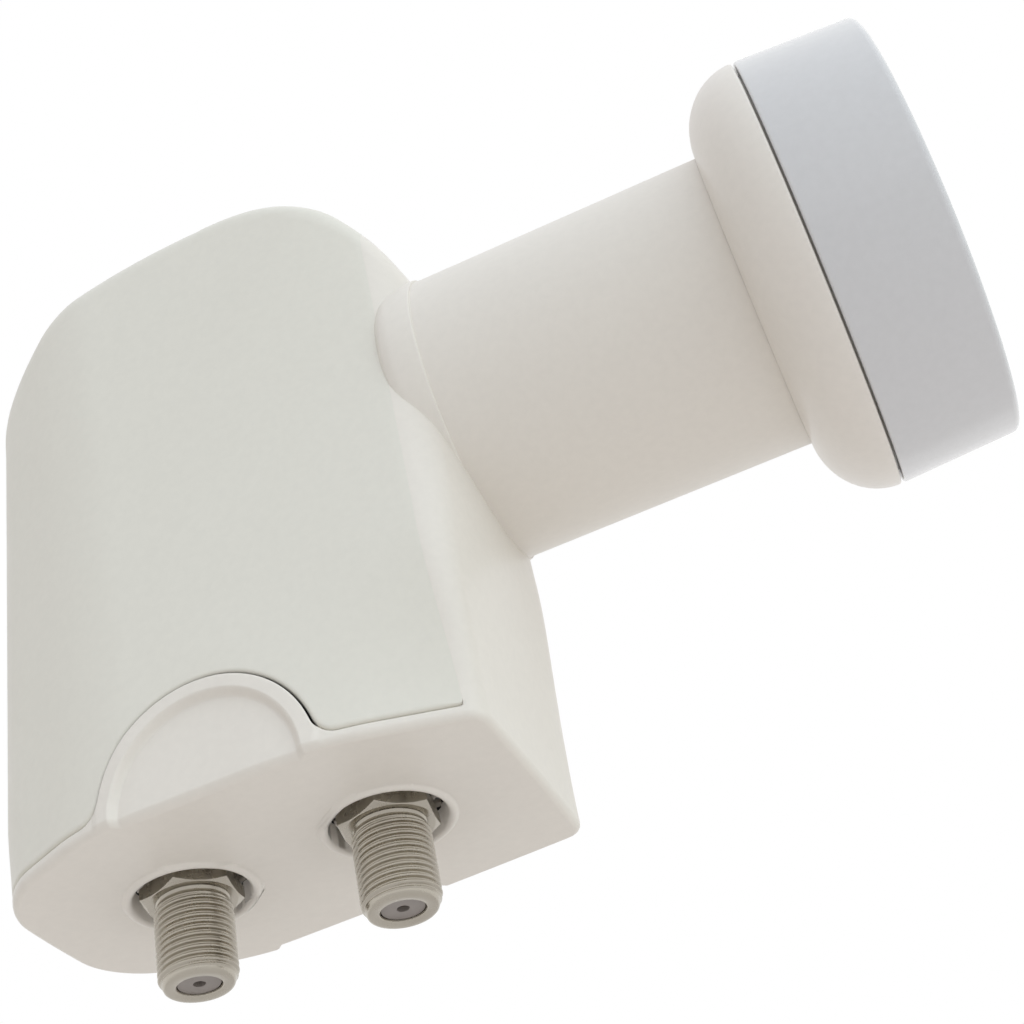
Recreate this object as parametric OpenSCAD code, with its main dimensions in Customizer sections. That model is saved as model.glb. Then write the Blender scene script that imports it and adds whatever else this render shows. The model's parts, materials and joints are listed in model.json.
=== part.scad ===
// Twin output satellite LNB with a 40 mm neck.
// X runs along the neck toward the feed cap, Z is up, the origin is the
// middle of the clamp zone on the neck axis. All lengths are millimetres.

/* [Neck] */
// Diameter of the neck that the dish holder clamps
neck_d = 40; // [39.6:0.1:40.4]
// Wall of the neck sleeve
neck_wall = 2.2; // [1.8:0.1:3]
// Free length of the neck between housing and feed cap
clamp_len = 39.8; // [34:0.2:46]

/* [Housing] */
// Length of the housing from the middle of the port row to the front wall
front_len = 31.1; // [29.5:0.1:35]
// Length of the housing from the middle of the port row to the back
back_len = 33.6; // [31:0.1:36]
// Width of the housing between its flat sides
body_w = 41.2; // [41:0.2:46]
// Depth of the flat bottom below the neck axis
body_depth = 54; // [50:0.5:60]
// Height of the roof above the neck axis
roof_h = 38.2; // [36:0.1:44]
// Draw-in of the back where it meets the bottom plate
toe_in = 0.8; // [0:0.1:3]
// Height of the roof edge over the front wall
brow_h = 21.8; // [20:0.1:24]
// Position of the highest part of the roof, in front of the port row
roof_mid = 6; // [0:0.5:8]
// Height where the back starts to curve into the roof
knee_h = 20; // [10:0.5:26]
// Fullness of that curve, 2 is an ellipse
knee_full = 2.0; // [1.8:0.05:3]
// Fullness of the roof line toward the front
brow_full = 2.8; // [2:0.1:3.4]
// Bulge of the front wall around the neck
front_crown = 4; // [2:0.25:5]
// Step where the fairing round the neck ends
collar_step = 0.35; // [0.2:0.05:0.5]
// Wall of the housing shell
shell_wall = 2.2; // [1.8:0.1:3]
// Radius where the roof meets the sides
roof_round = 4; // [3:0.25:6]
// Extra radius of the upright corners at the back
back_ease = 2.5; // [0:0.1:3]
// Radius of the soft upright creases
crease_round = 2.4; // [1.5:0.1:4]
// Thickness of the bottom plate
base_wall = 3.2; // [2.6:0.1:4]
// Height of the plate edge that shows below the seam
base_rim = 1.7; // [1.2:0.1:2.4]
// Width of the open seam between housing pieces
seam_gap = 0.3; // [0.2:0.05:0.5]

/* [Arch] */
// Radius of the arched tab on each side
arch_r = 14; // [12:0.25:15]
// Width of the raised rim of the arch
arch_rim = 2.3; // [1.6:0.1:3]
// Depth of the panel inside the rim
arch_recess = 0.8; // [0.4:0.1:1.2]

/* [Ports] */
// Spacing of the two F ports along the housing
port_pitch = 26.4; // [24:0.2:30]
// Major diameter of the 3/8-32 thread
port_thread_d = 9.525; // [9.4:0.005:9.6]
// Length of thread that shows below the housing
port_out = 11.8; // [10:0.2:14]
// Diameter of the hole around each port
port_hole_d = 14.4; // [13:0.2:16]
// Diameter of the raised lip around that hole
port_lip_d = 16.4; // [15.4:0.2:18]
// Height of the lip
port_lip_h = 0.5; // [0.3:0.1:1]
// Diameter of the socket at the end of each port
socket_d = 5.3; // [4.8:0.1:5.8]
// Depth of that socket
socket_depth = 0.9; // [0.6:0.1:1.2]
// Bore of the barrel behind its socket
port_bore_d = 4.4; // [4:0.1:4.6]
// Depth by which the nut's thread bites into the barrel's
thread_bite = 0.27; // [0.2:0.01:0.4]
// Width across flats of the port nut
nut_af = 11; // [10.6:0.1:11.4]
// Thickness of the port nut
nut_h = 2.4; // [2:0.1:3]
// Outer diameter of the toothed lock washer
washer_d = 13; // [12:0.1:13.6]
// Thickness of the lock washer
washer_t = 0.8; // [0.5:0.1:1.2]

/* [Feed cap] */
// Largest diameter of the feed cap
cap_d = 58.3; // [54:0.1:62]
// Length of the rounded rear shell
shell_len = 8.8; // [8:0.2:12]
// Length of the front cap from its seam to the face
cap_len = 15.9; // [13:0.1:18]
// Wall of the cap and the rear shell
cap_wall = 1.8; // [1.4:0.1:2.4]
// Rounding of the front edge of the cap
cap_round = 1; // [0.6:0.1:4]
// Draw-in of the cap's side toward its face
cap_draft = 0.8; // [0.2:0.1:1.2]
// Rise of the domed face at its middle
cap_dome = 0.9; // [0.6:0.1:2.5]
// Overlap of the rear shell spigot inside the cap
cap_lap = 4.5; // [3.5:0.1:5]

/* [Feed horn] */
// Bore of the round waveguide
guide_d = 17.4; // [17:0.1:19]
// Wall of the waveguide tube
guide_wall = 2.2; // [1.6:0.1:3]
// Number of corrugations around the horn mouth
ring_count = 3; // [2:1:3]
// Clearance between the horn and the lap of the cap
horn_gap = 0.85; // [0.5:0.05:1.5]
// Wall of each corrugation
ring_wall = 1.5; // [1:0.1:2]
// Depth of the grooves between corrugations
groove_depth = 5.8; // [4.5:0.1:6.4]
// Length of the spacer that centres the waveguide in the neck
spacer_len = 9; // [6:0.5:14]

/* [Chassis] */
// Depth of the cast chassis on the side away from the board
chassis_back = 11; // [10:0.2:11.6]
// Height of the frame that stands round the board
frame_h = 3.6; // [3.2:0.1:3.8]
// Step from the back end of the chassis to that frame
frame_back_step = 7.5; // [7:0.1:8.5]
// Step from the front end of the chassis to that frame
frame_front_step = 2; // [1:0.1:4]
// Length of the cast chassis
chassis_l = 52; // [50:0.5:53]
// Least clearance between the ends of the chassis and the housing walls
chassis_gap = 1.2; // [0.5:0.1:2]
// Height of the chassis above the neck axis
chassis_top = 19; // [18:0.5:20]
// Wall of the chassis
chassis_wall = 2; // [1.6:0.1:2.6]
// Thickness of the circuit board
board_t = 0.8; // [0.6:0.1:1]
// Thickness of the shield lid
lid_t = 1.4; // [1:0.1:1.6]
// Height of the foam absorber under the lid
absorber_t = 0.9; // [0.5:0.1:1]
// Height of the resonator pucks on the board
puck_h = 1.6; // [1:0.1:1.8]
// Shank diameter of the small screws
screw_d = 2.4; // [2:0.1:2.6]
// Diameter of the screw heads
head_d = 4.6; // [4:0.1:5]

/* [Hidden] */
$fn = 72;

neck_r = neck_d / 2;
bore_r = neck_r - neck_wall;
fit = 0.3;
slip = 0.1;
relief = 0.3;
ch_hl = chassis_l / 2;
front_wall_t = 1.5;
hl = max(front_len, ch_hl + chassis_gap + front_wall_t);
hb = max(back_len, ch_hl + chassis_gap + shell_wall);
hw = body_w / 2;
front_x = -clamp_len / 2 - front_crown;
hx = front_x - hl;
shell_x = clamp_len / 2;
seam_x = shell_x + shell_len;
face_x = seam_x + cap_len;
cap_r = cap_d / 2;
base_z = -body_depth;
seam_z = base_z + base_rim;
floor_z = base_z + base_wall;
panel_r = arch_r - arch_rim;
port_r = port_thread_d / 2;
socket_r = socket_d / 2;
port_bore_r = port_bore_d / 2;
shank_r = port_r - thread_bite;
pin_r = 0.65;
ports = [-port_pitch / 2, port_pitch / 2];
cut_x = hl - front_wall_t;
collar_len = hl + front_crown - 0.5 - cut_x;
guide_r = guide_d / 2;
guide_or = guide_r + guide_wall;
gasket_t = 1;
gasket_w = 2.3;
frame_rear = ch_hl - frame_back_step;
frame_fore = ch_hl - frame_front_step;
ch_bot = floor_z + gasket_t;
web_y = guide_r + 1.7;
board_y = web_y + board_t;
seal_t = 0.4;
frame_y = web_y + frame_h;
lid_y = frame_y + seal_t;
nut_z = base_z - 0.9;
washer_z = nut_z + nut_h;
boss_z = washer_z + washer_t;
flange_z = ch_bot + chassis_wall;
thread_z = base_z - port_out;
flange_h = 1.6;
wire_z = flange_z + 9;
lap_r = cap_r - cap_wall - slip;
lap_t = 1.5;
ring_pitch = (lap_r - lap_t - horn_gap - guide_or) / ring_count;
ledge_x = seam_x + cap_lap;
plate_x = seam_x + 2;
mouth_x = plate_x + 2 + groove_depth;
horn_back = hx + ch_hl;
flange_r = 15.5;
feed_turns = [38, 142, 218, 322];
probe_v = [hx + 12, 0];
probe_h = [hx + 4, -guide_or - 2.5];
lid_spots = [for (x = [4.5 - frame_rear, 4, frame_fore - 4.5], z = [ch_bot + 4.5, chassis_top - 4.5])
  [hx + x, z]];
board_spots = [[hx - 12, ch_bot + 41.8], [hx + 18, ch_bot + 25.8]];
puck_spots = [[hx - 12, ch_bot + 22.8], [hx + 7, ch_bot + 22.8]];

// Blend of two wall distances with a round of radius r between them
function blend(a, b, r) = let(u = max(a + r, 0), v = max(b + r, 0))
  (u > 0 && v > 0) ? norm([u, v]) - r : max(a, b);
function rise(z) = max(0, (z + body_depth) / 74);
function ramp(t) = let(u = min(1, max(0, t))) u * u * (3 - 2 * u);
// Upright creases lean toward the corners as they rise
function crease_f(z) = 13.4 + (hl - 20.5) * pow(rise(z), 1.7);
function crease_b(z) = 14.6 + 2 * pow(rise(z), 1.7);
// The bottom corners are drawn in, the near front one most of all
function front_y(y, z) = let(low = y < 0 ? hw - 6.4 : hw - 1.2)
  low + (hw - 0.8 - low) * ramp((z + body_depth) / 26);
function back_y(z) = hw - 8;
// Distance to the slanted wall between a crease (xc, hw) and a corner (xk, yk)
function slant(x, y, xc, xk, yk) = let(n = norm([xk - xc, hw - yk]))
  ((x - xc) * (hw - yk) + (y - hw) * (xk - xc)) / n;
function crown(y, z) = (0.6 + (front_crown - 0.6) * ramp((z + body_depth) / 34))
  * (1 - pow(min(1, abs(y) / hw), 3.5));
// Roof line along the housing, steeply rounded at the back
function roof_z(x) = x > roof_mid
  ? roof_h - (roof_h - brow_h) * pow((x - roof_mid) / (hl - roof_mid), brow_full)
  : knee_h + (roof_h - knee_h)
    * pow(max(0, 1 - pow(min(1, (roof_mid - x) / (hb + roof_mid)), knee_full)), 1 / knee_full);
function roof_d(x, y, z) = x > roof_mid
  ? (z - roof_z(x)) / norm([1, 1.3 * (roof_h - brow_h) / hl * (x - roof_mid) / (hl - roof_mid)])
  : z < knee_h ? 0.003 * y * y - x - hb + toe_in * (1 - ramp((z + body_depth) / 12))
  : knee_d((roof_mid - x) / (hb + roof_mid), (z - knee_h) / (roof_h - knee_h))
    + 0.003 * y * y * (1 - ramp((z - knee_h) / 20));
// Distance to the curve from the back into the roof, u and v are shares of its two reaches
function knee_d(u, v) = let(b = bulge(u, v), e = knee_full - 1) b < 0.01 ? -20 :
  (b - 1) * pow(b, e) / norm([pow(abs(u), e) / (hb + roof_mid), pow(abs(v), e) / (roof_h - knee_h)]);
function bulge(u, v) = pow(pow(abs(u), knee_full) + pow(abs(v), knee_full), 1 / knee_full);
function sides_d(x, y, z) = let(a = abs(y))
  blend(blend(a - hw, slant(x, a, crease_f(z), hl, front_y(y, z)), crease_round),
    slant(-x, a, crease_b(z), hb - 0.6, back_y(z)), crease_round);
function front_d(x, y, z) = x - hl - crown(y, z);
// Signed distance to the outside of the housing, near enough for its shell
function form_d(p) = blend(
  blend(sides_d(p[0], p[1], p[2]), roof_d(p[0], p[1], p[2]),
    roof_round + back_ease * ramp((-10 - p[0]) / 14) * (1 - ramp((p[2] - 8) / 16))),
  front_d(p[0], p[1], p[2]), 2);
function reach(o, d, t, lo, hi, n) = n == 0 ? (lo + hi) / 2 :
  let(m = (lo + hi) / 2) form_d(o + m * d) + t > 0
  ? reach(o, d, t, lo, m, n - 1) : reach(o, d, t, m, hi, n - 1);

// Directions of the loft's uprights, closer together at the corners
function bearings(m) = let(keys = [0, 30, 52, 90, 125, 157, 180], runs = [4, 4, 4, 4, 5, 3],
  half = [for (i = [0:5]) for (j = [0:runs[i] * m - 1])
    keys[i] + (keys[i + 1] - keys[i]) * j / (runs[i] * m)])
  concat(half, [180], [for (i = [len(half) - 1:-1:1]) 360 - half[i]]);
// Elevations of the loft's rows above z = 8 on one upright, close to the roof edge
function crests(e) = let(k = min(1, e / 16), f = e + 8 * k)
  concat([0], [for (d = [-8, -5, -2.5, 0, 2.5, 5, 8]) e + d * k],
    [for (d = [0.2, 0.42, 0.7]) f + (90 - f) * d]);

// Loft of the housing, inset by t, from rays that leave its upright axis
module form(t, m, rows) {
  low = base_z - 4;
  around = bearings(m);
  turns = len(around);
  edge = [for (a = around) let(w = reach([0, 0, 8], [cos(a), sin(a), 0], t, 0, 80, 12))
    max(6, atan2(roof_z(w * cos(a)) - t - 8, w))];
  n = rows + 11;
  pts = [for (j = [0:n - 1]) for (k = [0:turns - 1]) let(a = around[k],
    e = j < rows ? 0 : crests(edge[k])[j - rows],
    o = [0, 0, j < rows ? low + (8 - low) * j / rows : 8],
    d = [cos(e) * cos(a), cos(e) * sin(a), sin(e)])
    o + reach(o, d, t, 0, 80, 15) * d];
  apex = [0, 0, 8 + reach([0, 0, 8], [0, 0, 1], t, 0, 80, 15)];
  faces = concat(
    [[for (k = [0:turns - 1]) k]],
    [for (j = [0:n - 2]) for (k = [0:turns - 1]) let(q = (k + 1) % turns)
      each [[j * turns + k, (j + 1) * turns + k, (j + 1) * turns + q],
            [j * turns + k, (j + 1) * turns + q, j * turns + q]]],
    [for (k = [0:turns - 1]) let(q = (k + 1) % turns)
      [(n - 1) * turns + k, n * turns, (n - 1) * turns + q]]);
  polyhedron(points = concat(pts, [apex]), faces = faces, convexity = 4);
}

// Outline of the housing at one height, inset by t, seen from above
module plan(z, t) {
  polygon([for (a = bearings(2)) let(d = [cos(a), sin(a), 0])
    let(p = [0, 0, z] + reach([0, 0, z], d, t, 0, 60, 14) * d) [p[0], p[1]]]);
}

module tube(r, wall, h) {
  difference() {
    cylinder(r = r, h = h);
    translate([0, 0, -1]) cylinder(r = r - wall, h = h + 2);
  }
}
module along_x(x) { translate([x, 0, 0]) rotate([0, 90, 0]) children(); }
module at_ports() { for (x = ports) translate([hx + x, 0, 0]) children(); }
// A half round tab on one side of the bottom plate
module arch(r, h) {
  rotate([90, 0, 0]) intersection() {
    cylinder(r = r, h = h);
    translate([-r - 1, 0, -1]) cube([2 * r + 2, r + 2, h + 2]);
  }
}

module front_wall() {
  intersection() {
    translate([hx, 0, 0]) form(0, 2, 12);
    translate([hx + cut_x, -40, base_z + 0.5]) cube([20, 80, 90]);
  }
}
// Bottom plate: an eased lower edge, the rim below the seam, and the step
// that the cover slides over
module bottom_plate() {
  for (l = [[0, 0.5, 0.5], [0.4, 0.15, 0.5], [0.8, 0, base_rim - 0.8],
            [base_rim - 0.1, shell_wall + fit, base_wall - base_rim + 0.1]])
    translate([hx, 0, base_z + l[0]]) linear_extrude(l[2]) plan(base_z + 1, l[1]);
}
module front_body() {
  color("#e9e6da") difference() {
    union() {
      front_wall();
      along_x(hx + cut_x) cylinder(r = neck_r, h = shell_x - hx - cut_x);
      along_x(hx + cut_x) cylinder(r1 = hw + 0.2, r2 = neck_r + collar_step, h = collar_len);
      bottom_plate();
      translate([hx, hw + 0.2, base_z + 0.4]) arch(arch_r, base_wall);
      translate([hx, -hw - 0.2 + base_wall, base_z + 0.4]) arch(arch_r, base_wall);
      at_ports() translate([0, 0, base_z - port_lip_h])
        cylinder(r = port_lip_d / 2, h = port_lip_h + 0.4);
    }
    along_x(hx + cut_x - 1) cylinder(r = bore_r, h = 90);
    at_ports() translate([0, 0, base_z - 2]) cylinder(r = port_hole_d / 2, h = base_wall + 4);
    for (s = [-1, 1]) translate([hx, s * (hw + 0.2) + (s < 0 ? arch_recess : 1), base_z + 0.4]) {
      arch(panel_r, 1 + arch_recess);
      translate([-panel_r, -1 - arch_recess, -2]) cube([2 * panel_r, 1 + arch_recess, 2.1]);
    }
  }
}
module rear_cover() {
  color("#e2e4d9") difference() {
    translate([hx, 0, 0]) form(0, 2, 12);
    translate([hx, 0, 0]) form(shell_wall, 1, 7);
    translate([hx + cut_x - seam_gap, -50, -90]) cube([50, 100, 180]);
    translate([hx - 50, -50, -90]) cube([100, 100, 90 + seam_z + seam_gap]);
    for (s = [-1, 1]) translate([hx, s < 0 ? -hw + 6 : hw + 6, base_z + 0.4])
      arch(arch_r + seam_gap, 12);
  }
}

function arc(cx, cy, rx, ry, a0, a1, n) =
  [for (i = [0:n]) let(a = a0 + (a1 - a0) * i / n) [cx + rx * cos(a), cy + ry * sin(a)]];
// Turned profiles are drawn as radius against distance along X
module turned(pts) { rotate([0, 90, 0]) rotate_extrude($fn = 144) polygon(pts); }

module horn_shell() {
  spring = cap_r - neck_r;
  color("#efeade") turned(concat(
    [[bore_r - slip, shell_x - 7], [bore_r - slip, shell_x], [neck_r, shell_x]],
    arc(neck_r, seam_x - seam_gap / 2, spring, shell_len - seam_gap / 2, -90, 0, 20),
    [[lap_r, seam_x - seam_gap / 2], [lap_r, ledge_x], [lap_r - lap_t, ledge_x],
     [lap_r - lap_t, seam_x]],
    arc(neck_r - 1.2, seam_x, lap_r - 0.3 - neck_r, shell_len - cap_wall, 0, -90, 16),
    [[bore_r - slip - 1.6, seam_x - shell_len + cap_wall], [bore_r - slip - 1.6, shell_x - 7]]));
}
module horn_cap() {
  edge = cap_r - cap_draft - cap_round;
  inner = face_x - cap_wall;
  color("#e6e8ec") turned(concat(
    [[cap_r, seam_x + seam_gap / 2]],
    arc(edge, face_x - cap_round, cap_round, cap_round, 0, 90, 8),
    [for (i = [1:10]) [edge * (1 - i / 10), face_x + cap_dome * (1 - pow(1 - i / 10, 2))]],
    [for (i = [0:10]) [edge * i / 10, inner + cap_dome * (1 - pow(i / 10, 2))]],
    [[lap_r + slip - 1.2, inner - 1], [lap_r + slip - 1.2, ledge_x + 0.8],
     [lap_r + slip, ledge_x + 0.8], [lap_r + slip, seam_x + seam_gap / 2]]));
}
module cap_seal() {
  color("#303030") along_x(ledge_x) tube(lap_r - slip, 1.3, 0.8);
}
module feed_horn() {
  color("#b9bcbf") difference() {
    union() {
      along_x(horn_back) cylinder(r = guide_or, h = mouth_x - horn_back);
      along_x(horn_back) cylinder(r = flange_r, h = 2.4);
      along_x(plate_x) cylinder(r = guide_or - ring_wall + ring_count * ring_pitch + ring_wall,
        h = 2);
      for (i = [1:ring_count]) along_x(plate_x)
        tube(guide_or + i * ring_pitch, ring_wall, mouth_x - plate_x);
    }
    along_x(horn_back - 1) cylinder(r = guide_r, h = mouth_x - horn_back + 2);
    along_x(horn_back - 1) tube(guide_or + 1.35, 1.1, 1.8);
    for (a = feed_turns) rotate([a, 0, 0]) translate([0, 0, flange_r - 1.9])
      along_x(horn_back - 1) cylinder(d = screw_d + slip, h = 5);
  }
}
module feed_seal() {
  color("#303030") along_x(horn_back) tube(guide_or + 1.3, 1, 0.8);
}
module feed_screws() {
  color("#c9ccd0") for (a = feed_turns) rotate([a, 0, 0])
    translate([0, 0, flange_r - 1.9]) {
      along_x(horn_back - 5) cylinder(d = screw_d, h = 7.4);
      along_x(horn_back + 2.4) difference() {
        cylinder(d = 3.6, h = 1.4);
        translate([0, 0, 0.7]) cylinder(d = 1.6, h = 2, $fn = 6);
      }
    }
}
module neck_spacer() {
  color("#f4f2ea") difference() {
    along_x(-spacer_len * 2 / 3) tube(bore_r - slip, bore_r - guide_or - 2 * slip, spacer_len);
    for (a = [0:60:300]) rotate([a, 0, 0]) translate([0, 0, (bore_r + guide_or) / 2])
      along_x(-spacer_len) cylinder(r = 2, h = 2 * spacer_len);
  }
}
module chassis() {
  w = chassis_wall;
  color("#b4b7ba") difference() {
    union() {
      difference() {
        translate([hx - ch_hl, -chassis_back, ch_bot])
          cube([chassis_l, chassis_back + web_y, chassis_top - ch_bot]);
        translate([hx - ch_hl + w, -chassis_back - 1, ch_bot + w])
          cube([chassis_l - 2 * w, chassis_back + 1 + web_y - w, chassis_top - ch_bot - 2 * w]);
      }
      board_face(web_y - 0.5, frame_h + 0.5) difference() {
        lid_frame(0);
        lid_frame(w);
      }
      intersection() {
        union() {
          along_x(hx - 4) cylinder(r = guide_or, h = ch_hl + 4 - w / 2);
          along_x(hx + ch_hl - 6) cylinder(r = flange_r, h = 5);
        }
        translate([hx - 40, -chassis_back, -40]) cube([80, chassis_back + web_y, 80]);
      }
      for (p = lid_spots) translate([p[0], 0, p[1]]) rotate([-90, 0, 0])
        translate([0, 0, web_y - 0.5]) cylinder(r = 2.9, h = frame_h + 0.5);
      at_ports() translate([0, 0, boss_z]) cylinder(r = port_hole_d / 2 - 0.7,
        h = ch_bot - boss_z + 0.5);
      translate([probe_h[0] - 2.5, -2.5, probe_h[1] - 2.5]) cube([5, web_y + 2, 5.5]);
    }
    along_x(hx - 2) cylinder(r = guide_r, h = ch_hl + 6);
    at_ports() translate([0, 0, boss_z - 1]) cylinder(r = shank_r + slip, h = 20);
    for (p = lid_spots) translate([p[0], 0, p[1]]) rotate([-90, 0, 0])
      translate([0, 0, web_y - 1.4]) cylinder(d = screw_d + slip, h = 20);
    for (p = board_spots) translate([p[0], 0, p[1]]) rotate([-90, 0, 0])
      translate([0, 0, web_y - 5]) cylinder(d = screw_d + slip, h = 8);
    for (a = feed_turns) rotate([a, 0, 0]) translate([0, 0, flange_r - 1.9])
      along_x(horn_back - 5.5) cylinder(d = screw_d + slip, h = 7);
    translate([probe_v[0], guide_r - 2, probe_v[1]]) rotate([-90, 0, 0]) cylinder(r = 1.3, h = 9);
    translate([probe_h[0], 0, probe_h[1]]) {
      translate([0, -1.3, 0]) rotate([-90, 0, 0]) cylinder(r = 1.3, h = web_y + 3);
      cylinder(r = 1.3, h = 8);
    }
    at_ports() translate([0, 0, wire_z]) rotate([-90, 0, 0]) cylinder(r = 1.3, h = web_y + 3);
  }
}
module board_face(y, t) { translate([0, y, 0]) rotate([90, 0, 0]) mirror([0, 0, 1])
  linear_extrude(t) children(); }
module lid_frame(inset) {
  translate([hx - frame_rear + inset, ch_bot + inset])
    square([frame_rear + frame_fore - 2 * inset, chassis_top - ch_bot - 2 * inset]);
}
module chassis_lid() {
  color("#aeb2b6") difference() {
    union() {
      board_face(lid_y, lid_t) lid_frame(0.4);
      for (x = [-6, 14]) board_face(lid_y + lid_t - 0.1, 0.7)
        translate([hx + x, -16]) square([1.6, 26]);
    }
    board_face(lid_y - 1, lid_t + 3) {
      for (p = lid_spots) translate(p) circle(d = screw_d + slip);
      for (p = puck_spots) translate(p) circle(d = screw_d + slip);
    }
  }
}
module lid_gasket() {
  color("#3a3a3a") board_face(frame_y, seal_t) difference() {
    lid_frame(0.4);
    lid_frame(chassis_wall);
  }
}
module lid_screws() {
  color("#c9ccd0") for (p = lid_spots) translate([p[0], 0, p[1]]) rotate([-90, 0, 0])
    difference() {
      union() {
        translate([0, 0, web_y + 0.2]) cylinder(d = screw_d, h = lid_y + lid_t - web_y);
        translate([0, 0, lid_y + lid_t]) cylinder(d = head_d, h = 1.3);
      }
      translate([0, 0, lid_y + lid_t + 0.6]) cylinder(d = 2.2, h = 2, $fn = 6);
    }
}
module circuit_board() {
  color("#2f6b3c") board_face(web_y, board_t) difference() {
    lid_frame(chassis_wall + fit);
    for (p = lid_spots) translate(p) circle(r = 2.9 + fit);
    for (p = board_spots) translate(p) circle(d = screw_d + slip);
    translate(probe_v) circle(r = 0.75);
    translate(probe_h) circle(r = 0.75);
    for (x = ports) translate([hx + x, wire_z]) circle(r = 0.75);
  }
}
module board_screws() {
  color("#c9ccd0") for (p = board_spots) translate([p[0], 0, p[1]]) rotate([-90, 0, 0]) {
    translate([0, 0, web_y - 4]) cylinder(d = screw_d, h = 4 + board_t);
    translate([0, 0, board_y]) cylinder(d = head_d, h = 1.1);
  }
}
module probe_pins() {
  color("#c8a24a") {
    translate([probe_v[0], guide_r - 5.5, probe_v[1]]) rotate([-90, 0, 0])
      cylinder(r = 0.65, h = board_y - guide_r + 6);
    translate([probe_h[0], 0, probe_h[1]]) {
      translate([0, -0.65, 0]) rotate([-90, 0, 0]) cylinder(r = 0.65, h = board_y + 1.15);
      cylinder(r = 0.65, h = 9);
    }
  }
}
module resonator_pucks() {
  color("#d9cdb4") board_face(board_y, puck_h) for (p = puck_spots) translate(p)
    difference() { circle(r = 2.9); circle(r = 0.9); }
}
module tuning_screws() {
  color("#c8a24a") for (p = puck_spots) translate([p[0], 0, p[1]]) rotate([-90, 0, 0])
    translate([0, 0, board_y + puck_h + 0.35]) difference() {
      cylinder(d = screw_d, h = lid_y + lid_t - board_y - puck_h + 0.5);
      translate([-2, -0.3, lid_y + lid_t - board_y - puck_h - 0.1]) cube([4, 0.6, 2]);
    }
}
module mixer_chip() {
  color("#2a2a2c") board_face(board_y, 0.9) translate([hx - 5, ch_bot + 11.8])
    square([5, 5]);
}
module output_chips() {
  color("#2a2a2c") board_face(board_y, 1.1) for (x = ports)
    translate([hx + x + 4, wire_z - 1]) square([3.4, 4]);
}
module absorber_pad() {
  color("#4a4c50") board_face(lid_y - absorber_t, absorber_t) difference() {
    translate([hx - frame_rear + 5, ch_bot + 13.8])
      square([frame_rear + frame_fore - 10, chassis_top - ch_bot - 28.8]);
    for (p = puck_spots) translate(p) circle(r = 2.2);
  }
}
module port_barrels() {
  color("#a9a497") at_ports() difference() {
    union() {
      translate([0, 0, thread_z]) cylinder(r1 = port_r - 0.6, r2 = port_r, h = 0.6);
      translate([0, 0, thread_z + 0.6]) cylinder(r = port_r, h = nut_z - relief - thread_z - 0.6);
      translate([0, 0, nut_z - 1]) cylinder(r = shank_r, h = flange_z - nut_z + 1.5);
      translate([0, 0, flange_z]) cylinder(r = 6.3, h = flange_h);
    }
    translate([0, 0, thread_z - 1]) cylinder(r = socket_r, h = 1 + socket_depth);
    translate([0, 0, thread_z]) cylinder(r = port_bore_r, h = 40);
  }
}
module port_insulators() {
  color("#55534e") at_ports() difference() {
    union() {
      translate([0, 0, thread_z + socket_depth / 2])
        cylinder(r = socket_r - slip, h = socket_depth / 2);
      translate([0, 0, thread_z + socket_depth / 2])
        cylinder(r = port_bore_r - slip, h = flange_z + flange_h - thread_z - socket_depth / 2);
    }
    cylinder_from(thread_z, pin_r + slip);
  }
}
module cylinder_from(z, r) { translate([0, 0, z]) cylinder(r = r, h = 60); }
module port_contacts() {
  color("#c8a24a") at_ports() {
    translate([0, 0, thread_z + 3.2]) cylinder(r = pin_r, h = wire_z - thread_z - 3.2);
    translate([0, -pin_r, wire_z]) rotate([-90, 0, 0]) cylinder(r = pin_r, h = board_y + 1.15);
  }
}
module port_gaskets() {
  color("#303030") at_ports() translate([0, 0, floor_z]) tube(port_hole_d / 2 + 2, gasket_w, gasket_t);
}
module port_washers() {
  color("#8d8a84") at_ports() translate([0, 0, washer_z]) linear_extrude(washer_t)
    difference() {
      circle(d = washer_d - 1.4);
      circle(r = shank_r + slip);
    }
}
module port_nuts() {
  color("#b3aea2") at_ports() translate([0, 0, nut_z]) difference() {
    intersection() {
      rotate([0, 0, 12]) cylinder(d = nut_af / cos(30), h = nut_h, $fn = 6);
      translate([0, 0, -0.1]) cylinder(d1 = nut_af * 1.07, d2 = nut_af * 1.3, h = nut_h + 0.2);
    }
    translate([0, 0, -1]) cylinder(r = shank_r + 0.03, h = nut_h + 2);
  }
}

front_body();
rear_cover();
horn_shell();
horn_cap();
cap_seal();
feed_horn();
feed_seal();
feed_screws();
neck_spacer();
chassis();
chassis_lid();
lid_gasket();
lid_screws();
circuit_board();
board_screws();
probe_pins();
resonator_pucks();
tuning_screws();
mixer_chip();
output_chips();
absorber_pad();
port_barrels();
port_insulators();
port_contacts();
port_gaskets();
port_washers();
port_nuts();
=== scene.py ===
import json
import math

import bpy
import numpy as np
from mathutils import Matrix, Vector


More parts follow.
